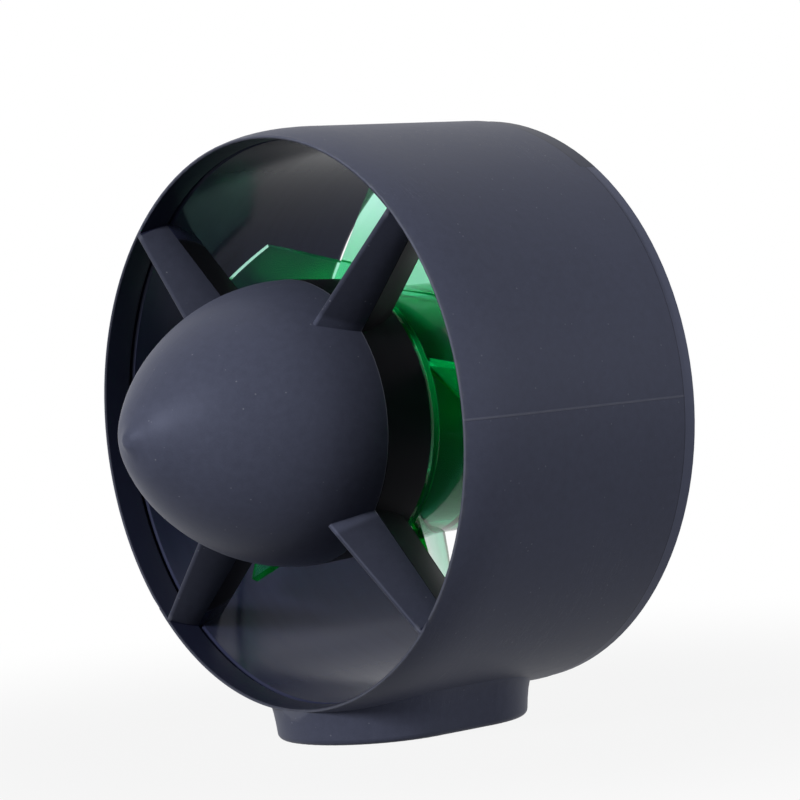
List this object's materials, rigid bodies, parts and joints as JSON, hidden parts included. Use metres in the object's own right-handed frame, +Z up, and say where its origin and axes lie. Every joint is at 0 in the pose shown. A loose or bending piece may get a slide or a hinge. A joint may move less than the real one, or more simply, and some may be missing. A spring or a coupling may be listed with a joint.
{
  "type": "underwater thruster",
  "caption": "Ducted underwater thruster: propeller on a hub motor inside a ring duct, streamlined nose on struts, and a flat foot with threaded inserts.",
  "frame": {"origin": "middle of the foot's flat underside", "axes": "+X forward along the thrust axis, the way the nose points; +Z up, away from the foot; +Y to the left of the thrust"},
  "size_m": [0.1295, 0.16, 0.167],
  "materials": {
    "shell_black": "fine-textured moulded plastic, bluish black",
    "liner_black": "polished black moulded plastic",
    "blade_green": "translucent green polycarbonate, polished",
    "brass_insert": "turned brass",
    "gland_black": "moulded nylon",
    "seal_rubber": "moulded rubber",
    "anodised": "turned and clear anodised",
    "stainless": "stainless steel",
    "lamination": "coated laminations",
    "insulator_resin": "glass-filled resin",
    "copper": "enamelled copper wire",
    "bearing_steel": "ground and polished",
    "can_steel": "black electrophoretic coat",
    "magnet_nickel": "nickel plate",
    "board_green": "solder mask",
    "chip_black": "moulded epoxy",
    "capacitor_sleeve": "shrink sleeve"
  },
  "bodies": {
    "housing": {"duct_shell": "shell_black", "duct_liner": "liner_black", "foot_inserts": "brass_insert", "gland_screw": "gland_black", "gland_washer": "stainless", "gland_seal": "seal_rubber", "motor_mount": "anodised", "mount_screws": "stainless", "hub_screws": "stainless", "stator_core": "lamination", "stator_insulators": "insulator_resin", "stator_coils": "copper", "phase_leads": "copper", "front_bearing_outer_ring": "bearing_steel", "rear_bearing_outer_ring": "bearing_steel", "bearing_balls": "bearing_steel", "shaft_seal": "seal_rubber", "board_spacers": "brass_insert", "driver_board": "board_green", "board_transistors": "chip_black", "board_capacitors": "capacitor_sleeve", "board_screws": "stainless"},
    "rotor": {"front_bearing_inner_ring": "bearing_steel", "rear_bearing_inner_ring": "bearing_steel", "motor_shaft": "stainless", "shaft_clip": "stainless", "shaft_spacer": "stainless", "rotor_can": "can_steel", "rotor_magnets": "magnet_nickel", "propeller": "blade_green", "prop_screws": "stainless", "tail_cap": "blade_green", "tail_cap_screw": "stainless"}
  },
  "joints": [
    {"name": "propeller_spin", "type": "hinge", "parent": "housing", "child": "rotor", "pos_m": [0.0383, 0, 0.087], "axis": [1, 0, 0], "continuous": true}
  ]
}
